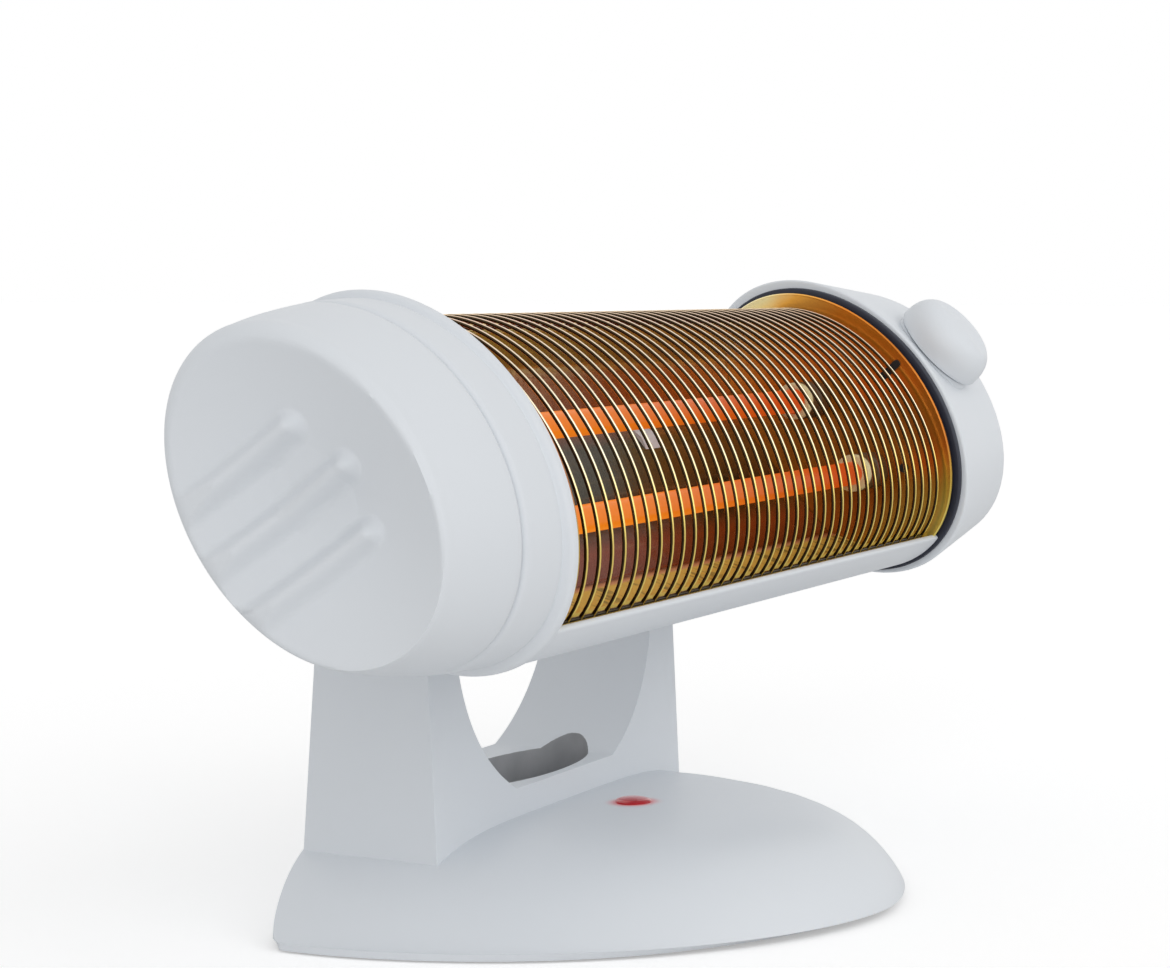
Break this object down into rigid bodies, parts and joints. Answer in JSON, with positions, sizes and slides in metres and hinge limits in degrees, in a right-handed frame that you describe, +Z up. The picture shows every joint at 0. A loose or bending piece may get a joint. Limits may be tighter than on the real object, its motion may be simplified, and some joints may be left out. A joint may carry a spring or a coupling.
{
  "type": "halogen heater",
  "caption": "Table-top halogen heater: oval head with glowing quartz tubes, gold reflector and wire guard, tilting on a U-shaped stand over a domed base, with a knob and pilot lamp.",
  "frame": {"origin": "on the floor, under the middle of the heater's bounding box", "axes": "+X to the right along the head for someone who faces the heater, +Y to the back, +Z up"},
  "size_m": [0.4936, 0.2056, 0.2358],
  "materials": {
    "white_plastic": "cool white, softly glossy moulded plastic",
    "gold_sheet": "bright gold reflector sheet, partly hammered",
    "guard_wire": "polished plated wire that mirrors the gold behind it",
    "dark_seal": "near-black blue, satin",
    "steel": "plain zinc-plated steel",
    "dark_plastic": "black moulded plastic",
    "ceramic": "cream fired ceramic, matt",
    "bronze_sheet": "bronze-coloured mirror-like sheet",
    "quartz": "clear quartz lit orange from inside",
    "filament": "glowing orange coil",
    "foot_rubber": "light grey rubber, matt",
    "lamp_red": "deep red lens, glossy and faintly lit"
  },
  "bodies": {
    "stand": {"stand_shell": "white_plastic", "stand_rear_cover": "white_plastic", "base_shell": "white_plastic", "base_plate": "white_plastic", "foot_1": "foot_rubber", "foot_2": "foot_rubber", "foot_3": "foot_rubber", "foot_4": "foot_rubber", "base_screw_1": "steel", "base_screw_2": "steel", "base_screw_3": "steel", "base_screw_4": "steel", "pilot_lamp_lens": "lamp_red", "pilot_lamp_body": "dark_plastic", "tip_switch_body": "dark_plastic", "cord_gland": "dark_plastic", "left_hinge_pin": "steel", "right_hinge_pin": "steel"},
    "head": {"housing_shell": "white_plastic", "reflector": "gold_sheet", "wire_guard": "guard_wire", "left_collar": "white_plastic", "left_end_cap": "white_plastic", "right_seal": "dark_seal", "right_end_cap": "white_plastic", "rotary_switch": "dark_plastic", "thermal_cut_out": "steel", "terminal_block": "ceramic", "left_end_plate": "bronze_sheet", "right_end_plate": "bronze_sheet", "upper_quartz_tube": "quartz", "upper_filament": "filament", "upper_left_holder": "ceramic", "upper_right_holder": "ceramic", "lower_quartz_tube": "quartz", "lower_filament": "filament", "lower_left_holder": "ceramic", "lower_right_holder": "ceramic"},
    "knob": {"control_knob": "white_plastic", "switch_shaft": "steel"},
    "tip_plunger": {"tip_switch_plunger": "foot_rubber"}
  },
  "joints": [
    {"name": "head_tilt", "type": "hinge", "parent": "stand", "child": "head", "pos_m": [0, 0.05753, 0.14958], "axis": [1, 0, 0], "range_deg": [-10, 20]},
    {"name": "knob_turn", "type": "hinge", "parent": "head", "child": "knob", "pos_m": [0.2051, -0.04414, 0.20479], "axis": [0, -0.7431, 0.6691], "range_deg": [0, 120]},
    {"name": "tip_switch", "type": "slide", "parent": "stand", "child": "tip_plunger", "axis": [0, 0, 1], "range_m": [-0.003, 0], "stiffness_N_per_m": 40, "springref_m": -0.003}
  ]
}
